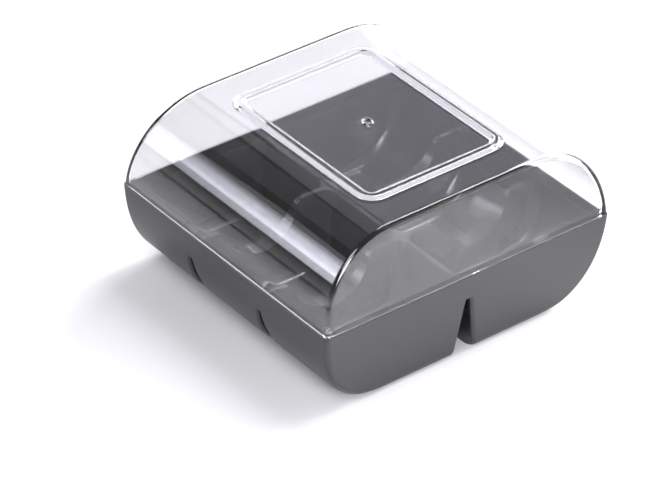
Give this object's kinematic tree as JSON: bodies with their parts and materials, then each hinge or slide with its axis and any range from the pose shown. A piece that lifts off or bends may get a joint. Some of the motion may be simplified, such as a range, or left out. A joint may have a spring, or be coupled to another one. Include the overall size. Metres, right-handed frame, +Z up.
{
  "type": "confectionery box",
  "caption": "Low rounded confectionery box: a dark tray divided into deep pockets by hollow folds, under a clear domed lid that lifts straight off.",
  "frame": {"origin": "middle of the bounding box's bottom face, at the height the tray rests on", "axes": "+X across the two rounded sides, +Y from one flat end wall to the other, +Z up"},
  "size_m": [0.104, 0.097, 0.0558],
  "materials": {
    "tray": "smooth moulded charcoal polystyrene",
    "lid": "crystal clear moulded polystyrene"
  },
  "bodies": {
    "tray": {"tray": "tray"},
    "lid": {"lid": "lid"}
  },
  "joints": [
    {"name": "lid_lift", "type": "slide", "parent": "tray", "child": "lid", "axis": [0, 0, 1], "range_m": [0, 0.06]}
  ]
}
